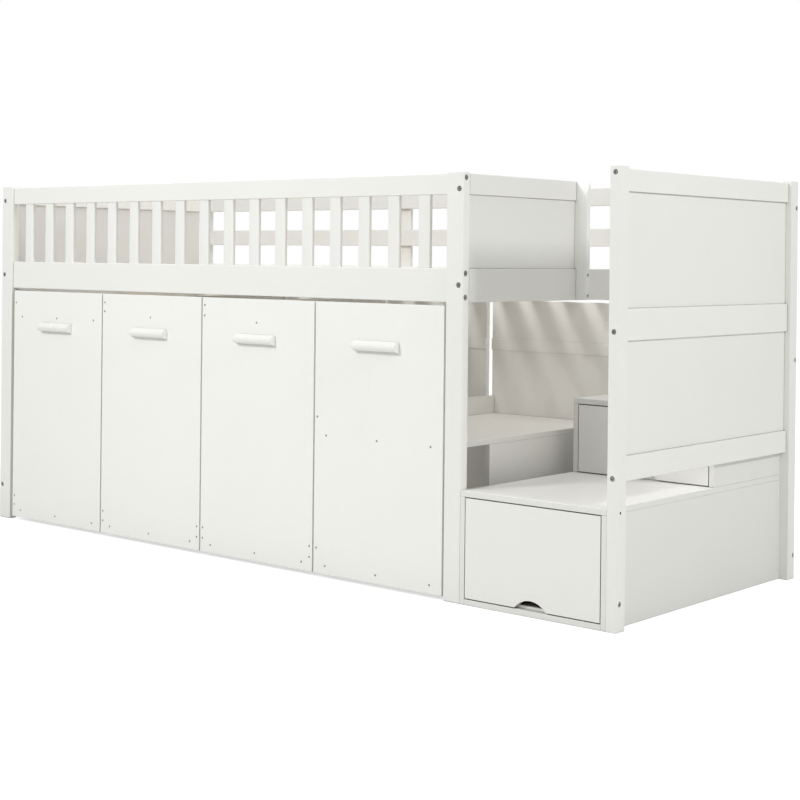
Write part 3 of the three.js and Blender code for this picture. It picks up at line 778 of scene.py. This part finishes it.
def drawn_steel(name, tone, rough):
    """Bare metal with a fine mottle in its tone, gloss and relief."""
    finish, tree, metal = new_finish(name)
    metal.inputs["Metallic"].default_value = 1.0
    place = tree.nodes.new("ShaderNodeTexCoord")
    marks = mottled(tree, place, "Object", scale=420, detail=4)
    dull, bright = 0.85, 1.1
    tones = two_tones(tree, marks, "Fac", tinted(tone, dull), tinted(tone, bright))
    link_nodes(tree, tones, "Result", metal, "Base Color")
    polish = ranged(tree, marks, "Fac", low=rough * 0.7, high=rough * 1.3)
    link_nodes(tree, polish, "Result", metal, "Roughness")
    relief = raised_by(tree, marks, depth=0.0001, strength=0.15)
    link_nodes(tree, relief, "Normal", metal, "Normal")
    return finish


def turned(form, profile, place, aim, sides):
    """Rings of points round an axis; a profile lists radius and distance along the axis."""
    rings = []
    spin = Vector(aim).to_track_quat("Z", "Y").to_matrix()
    for radius, along in profile:
        if radius == 0:
            rings.append([form.verts.new(Vector(place) + spin @ Vector((0, 0, along)))])
            continue
        ring = []
        for i in range(sides):
            angle = 2 * math.pi * i / sides
            spot = Vector((radius * math.cos(angle), radius * math.sin(angle), along))
            ring.append(form.verts.new(Vector(place) + spin @ spot))
        rings.append(ring)
    for first, second in zip(rings, rings[1:]):
        for i in range(sides):
            corners = [first[i % len(first)], first[(i + 1) % len(first)]]
            corners += [second[(i + 1) % len(second)], second[i % len(second)]]
            form.faces.new(list(dict.fromkeys(corners)))


def both_ends(half, start, end):
    """A whole profile from one half, which lists radius and distance in from the end."""
    return [(radius, start + inwards) for radius, inwards in half] + [
        (radius, end - inwards) for radius, inwards in reversed(half)
    ]


def smooth_turned(name, form, finish=None, crease=35):
    """A turned mesh as an object, smooth except at edges sharper than the crease."""
    bmesh.ops.recalc_face_normals(form, faces=form.faces)
    piece = as_object(name, form)
    if finish:
        piece.data.materials.append(finish)
    piece.data.shade_smooth()
    piece.data.set_sharp_from_angle(angle=math.radians(crease))
    return piece


rod_steel = drawn_steel("rod_steel", rod_tone, rod_roughness)
rod_end = [
    (0, 0), (socket_radius, 0), (socket_radius, socket_depth - socket_edge),
    (socket_radius - socket_edge, socket_depth), (rod_radius, socket_depth),
]
for unit in ("wardrobe_unit_left", "wardrobe_unit_right"):
    low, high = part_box(unit + "_carcass")
    rod_start = ((low.x + high.x) / 2, low.y, rod_height)
    rod_length = high.y - thick - low.y
    tube = bmesh.new()
    turned(tube, both_ends(rod_end, 0, rod_length), rod_start, backwards, rod_sides)
    rod = smooth_turned(unit + "_rod", tube, rod_steel)
    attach(rod, unit)

# Pulls: one moulded half-round bar on each unit front, hollow and closed at its
# flat ends, with a slot for the fingers in its underside next to the front.

pull_white, pull_gloss = (0.80, 0.80, 0.78), (0.26, 0.34)
pull_length, pull_height, pull_proud = 0.162, 0.031, 0.022
pull_wall, pull_edge = 0.0025, 0.0008
pull_bottom, pull_slot_depth = 0.6665, 0.012
nose_steps, behind_pull = 28, 0.002
pull_finish = painted_board("pull_white", pull_white, "X", pull_gloss)


def half_round(proud, height, lowest):
    """Y and Z from mid height, from the top edge round the nose down to the angle lowest."""
    fall = lowest - math.pi / 2
    turns = [math.pi / 2 + i / nose_steps * fall for i in range(nose_steps + 1)]
    return [(-proud * math.cos(turn), height / 2 * math.sin(turn)) for turn in turns]


def bar_along_x(outline, middle, length):
    """A closed bar of the given outline in Y and Z, its middle at the given place."""
    form = bmesh.new()
    ends = []
    for x in (-length / 2, length / 2):
        ends.append([form.verts.new(Vector(middle) + Vector((x, y, z))) for y, z in outline])
        form.faces.new(ends[-1])
    for i in range(len(outline)):
        j = (i + 1) % len(outline)
        form.faces.new([ends[0][i], ends[0][j], ends[1][j], ends[1][i]])
    bmesh.ops.recalc_face_normals(form, faces=form.faces)
    return form


inner_proud, inner_height = pull_proud - pull_wall, pull_height - 2 * pull_wall
slot_turn = -math.acos(pull_slot_depth / inner_proud)
hollow_outline = [(behind_pull, inner_height / 2)]
hollow_outline += half_round(inner_proud, inner_height, slot_turn)
hollow_outline += [(-pull_slot_depth, -pull_height), (behind_pull, -pull_height)]
for unit in unit_names:
    low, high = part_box(unit + "_front")
    middle = ((low.x + high.x) / 2, low.y, pull_bottom + pull_height / 2)
    bar = bar_along_x(half_round(pull_proud, pull_height, -math.pi / 2), middle, pull_length)
    hollow = bar_along_x(hollow_outline, middle, pull_length - 2 * pull_wall)
    shell = cut_away(unit + "_pull_blank", bar, hollow)
    grip = finished(unit + "_pull_bar", shell, pull_finish, pull_edge)
    stand_in(grip, unit, "pull_paint", unit + "_pull")

# Castors: dark moulded wheels in pairs on a thin steel axle, which turns in
# two drop brackets under the base board.

tyre_dark, tyre_dusty = (0.045, 0.045, 0.047, 1), (0.09, 0.088, 0.085, 1)
axle_tone, axle_roughness = (0.5, 0.5, 0.49), 0.3
wheel_radius, wheel_width, wheel_sides = 0.013, 0.018, 48
axle_radius, axle_sides, bore_bite = 0.003, 24, 0.0002
wheel_inset, running_gap = 0.040, 0.0003
bracket_thickness, bracket_reach, bracket_rise, bracket_round = 0.005, 0.0063, 0.004, 0.001
rightwards, weld = (1, 0, 0), 1e-6

# Radius and distance in from the side of a wheel, at the bore, hub, dish, side,
# shoulder and tread; then the same for the rounded end of an axle.
wheel_side = [
    (axle_radius - bore_bite, 0.003), (0.0065, 0.003), (0.0072, 0.0008),
    (0.0112, 0), (0.0124, 0.0012), (wheel_radius, 0.004),
]
axle_end = [(0, 0.001), (0.0025, 0.001), (axle_radius, 0.0015)]

tyre_finish, tree, rubber = new_finish("tyre_rubber")
place = tree.nodes.new("ShaderNodeTexCoord")
dust_and_joint_shade = mottled(tree, place, "Object", scale=240, detail=5)
soil = two_tones(tree, dust_and_joint_shade, "Fac", tyre_dark, tyre_dusty)
link_nodes(tree, soil, "Result", rubber, "Base Color")
link_nodes(tree, ranged(tree, dust_and_joint_shade, "Fac", low=0.5, high=0.75), "Result", rubber, "Roughness")
skin = raised_by(tree, dust_and_joint_shade, depth=0.0002, strength=0.3)
link_nodes(tree, skin, "Normal", rubber, "Normal")
axle_steel = drawn_steel("axle_steel", axle_tone, axle_roughness)

for unit in unit_names:
    low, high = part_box(unit + "_carcass")
    inboard = wheel_inset + wheel_width + running_gap
    bracket_lefts = (low.x + inboard, high.x - inboard - bracket_thickness)
    hangers = bmesh.new()
    for row in ("_front", "_rear"):
        wheels_low, wheels_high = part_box(unit + row + "_wheels")
        axle_y = (wheels_low.y + wheels_high.y) / 2
        axle_start = (wheels_low.x, axle_y, wheel_radius)
        length = wheels_high.x - wheels_low.x
        tyres = bmesh.new()
        for near in (0, length - wheel_width):
            profile = both_ends(wheel_side, near, near + wheel_width)
            turned(tyres, profile + profile[:1], axle_start, rightwards, wheel_sides)
        bmesh.ops.remove_doubles(tyres, verts=tyres.verts, dist=weld)
        tyre = smooth_turned(unit + row + "_tyres", tyres, tyre_finish)
        stand_in(tyre, unit + row + "_axle", "wheel_plastic", unit + row + "_wheels")
        bar = bmesh.new()
        turned(bar, both_ends(axle_end, 0, length), axle_start, rightwards, axle_sides)
        axle = smooth_turned(unit + row + "_axle_bar", bar, axle_steel)
        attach(axle, unit + row + "_axle")
        reach = axle_radius + bracket_reach
        for x in bracket_lefts:
            add_board(
                hangers, (x, axle_y - reach, wheel_radius + bracket_rise),
                (x + bracket_thickness, axle_y + reach, unit_base_bottom),
            )
    bracket = finished(unit + "_castor_brackets", hangers, axle_steel, bracket_round, steps=2)
    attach(bracket, unit)

# Fasteners: steel sleeve bolts with a hexagon socket in the posts, and small
# countersunk cross-head screws through the fronts of the roll-out units.

bolt_tone, bolt_roughness = (0.44, 0.44, 0.43), 0.3
screw_tone, screw_roughness = (0.22, 0.215, 0.20), 0.4
cross_arm_turn, cross_root_share = 0.2, 0.34
head_crease = 40

# Each ring of a head, from its back to the floor of its socket: the ring's
# shape, its radius, and its height over the face of the board.
bolt_rings = [
    ("round", 0.0052, -0.0085), ("round", 0.0052, -0.0012), ("round", 0.0046, -0.0006),
    ("hexagon", 0.003, -0.0006), ("hexagon", 0.003, -0.0045),
]
small_bolt_rings = [
    ("round", 0.0038, -0.0085), ("round", 0.0038, -0.001), ("round", 0.0034, -0.0005),
    ("hexagon", 0.0019, -0.0005), ("hexagon", 0.0019, -0.004),
]
screw_rings = [
    ("round", 0.0012, -0.0024), ("round", 0.0031, 0.0), ("round", 0.0029, 0.00025),
    ("cross", 0.0019, 0.0003), ("cross", 0.0015, -0.0014),
]


def wall_radius(shape, radius, angle):
    """How far out the wall of a head or its socket stands at an angle round the axis."""
    sixth, quarter = math.pi / 3, math.pi / 2
    if shape == "hexagon":
        off_middle = (angle + sixth / 2) % sixth - sixth / 2
        return radius * math.cos(sixth / 2) / math.cos(off_middle)
    if shape == "cross":
        off_arm = abs((angle + quarter / 2) % quarter - quarter / 2)
        return radius if off_arm < cross_arm_turn else radius * cross_root_share
    return radius


def fastener_head(name, rings, sides=48):
    """A head built up of rings, its socket sunk in the middle, closed at both ends."""
    form = bmesh.new()
    loops = []
    for shape, radius, height in rings:
        loop = []
        for i in range(sides):
            angle = 2 * math.pi * i / sides
            reach = wall_radius(shape, radius, angle)
            spot = (reach * math.cos(angle), reach * math.sin(angle), height)
            loop.append(form.verts.new(spot))
        loops.append(loop)
    for first, second in zip(loops, loops[1:]):
        for i in range(sides):
            j = (i + 1) % sides
            form.faces.new([first[i], first[j], second[j], second[i]])
    for loop, height in ((loops[0], rings[0][2]), (loops[-1], rings[-1][2])):
        middle = form.verts.new((0, 0, height))
        for i in range(sides):
            form.faces.new([loop[i], loop[(i + 1) % sides], middle])
    return smooth_turned(name, form, crease=head_crease)


def set_fasteners(name, body, head, spots, finish):
    """Sets one head at each spot, facing its way out and turned by a random part of a turn."""
    tree = bpy.data.node_groups.new(name + "_places", "GeometryNodeTree")
    tree_socket(tree, "Geometry", "Geometry")
    shape = tree_socket(tree, "Head", "Object")
    most = tree_socket(tree, "Most turn", "Float")
    coat = tree_socket(tree, "Finish", "Material")
    tree_socket(tree, "Geometry", "Geometry", "OUTPUT")
    given = tree.nodes.new("NodeGroupInput")
    pattern = tree.nodes.new("GeometryNodeObjectInfo")
    pattern.inputs["As Instance"].default_value = True
    link_nodes(tree, given, "Head", pattern, "Object")
    facing = tree.nodes.new("GeometryNodeInputNamedAttribute")
    facing.data_type = "FLOAT_VECTOR"
    facing.inputs["Name"].default_value = "facing"
    aim = tree.nodes.new("FunctionNodeAlignRotationToVector")
    aim.axis = "Z"
    link_nodes(tree, facing, "Attribute", aim, "Vector")
    chance = tree.nodes.new("FunctionNodeRandomValue")
    chance.data_type = "FLOAT"
    chance.inputs["Seed"].default_value = 7
    link_nodes(tree, given, "Most turn", chance, 3)
    twist = tree.nodes.new("ShaderNodeCombineXYZ")
    link_nodes(tree, chance, 1, twist, "Z")
    as_turn = tree.nodes.new("FunctionNodeEulerToRotation")
    link_nodes(tree, twist, "Vector", as_turn, "Euler")
    both = tree.nodes.new("FunctionNodeRotateRotation")
    both.rotation_space = "LOCAL"
    link_nodes(tree, aim, "Rotation", both, "Rotation")
    link_nodes(tree, as_turn, "Rotation", both, "Rotate By")
    row = tree.nodes.new("GeometryNodeInstanceOnPoints")
    link_nodes(tree, given, "Geometry", row, "Points")
    link_nodes(tree, pattern, "Geometry", row, "Instance")
    link_nodes(tree, both, "Rotation", row, "Rotation")
    real = tree.nodes.new("GeometryNodeRealizeInstances")
    link_nodes(tree, row, "Instances", real, "Geometry")
    paint = tree.nodes.new("GeometryNodeSetMaterial")
    link_nodes(tree, real, "Geometry", paint, "Geometry")
    link_nodes(tree, given, "Finish", paint, "Material")
    out = tree.nodes.new("NodeGroupOutput")
    link_nodes(tree, paint, "Geometry", out, "Geometry")

    marks = bpy.data.meshes.new(name + "_marks")
    marks.from_pydata([spot for spot, _ in spots], [], [])
    ways = marks.attributes.new("facing", "FLOAT_VECTOR", "POINT")
    for i, (_, way) in enumerate(spots):
        ways.data[i].vector = way
    seed = placed(name + "_marks", marks)
    maker = seed.modifiers.new("places", "NODES")
    maker.node_group = tree
    maker[shape.identifier] = head
    maker[most.identifier] = 2 * math.pi
    maker[coat.identifier] = finish
    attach(placed(name, settled_mesh(seed)), body)


bolt_steel = drawn_steel("bolt_steel", bolt_tone, bolt_roughness)
screw_steel = drawn_steel("screw_steel", screw_tone, screw_roughness)
bolt_head = fastener_head("bolt_head", bolt_rings)
outwards = (0, -1, 0)
bolt_spots = [(spot, outwards) for spot in left_bolts + middle_bolts + right_bolts]
side_bolts = middle_side_bolts + right_side_bolts + rear_side_bolts
bolt_spots += [(spot, rightwards) for spot in side_bolts]
set_fasteners("post_bolts", "frame", bolt_head, bolt_spots, bolt_steel)
small_bolt_head = fastener_head("small_bolt_head", small_bolt_rings)
entry_spots = [(spot, rightwards) for spot in entry_bolts]
set_fasteners("entry_post_bolts", "frame", small_bolt_head, entry_spots, bolt_steel)

screw_head = fastener_head("screw_head", screw_rings)
screw_columns = (0.0468, 0.2425, 0.4400)
base_row, edge_column = 0.0362, 0.011
left_edge_heights = {
    "shelf_unit": (0.7628, 0.0845, 0.0538),
    "wardrobe_unit_left": (0.7757, 0.7459, 0.0845, 0.0525),
    "wardrobe_unit_right": (0.7806, 0.7479, 0.0865, 0.0545),
    "desk_unit": (0.4682, 0.0853),
}
right_edge_heights = (0.0868, 0.0541)
for unit in unit_names:
    low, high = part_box(unit + "_front")
    width = high.x - low.x
    marks = [(edge_column, z) for z in left_edge_heights[unit]]
    marks += [(x, base_row) for x in screw_columns]
    if unit == "shelf_unit":
        marks += [(x, shelf_bottom + thick / 2) for x in screw_columns]
    if unit.startswith("wardrobe"):
        marks += [(width - edge_column, z) for z in right_edge_heights]
        marks += [(width / 2, rod_height)]
    if unit == "desk_unit":
        marks += [(x, desk_top_bottom + thick / 2) for x in screw_columns]
    spots = [((low.x + x, low.y, z), outwards) for x, z in marks]
    set_fasteners(unit + "_screws", unit, screw_head, spots, screw_steel)
for head in (bolt_head, small_bolt_head, screw_head):
    bpy.data.objects.remove(head)
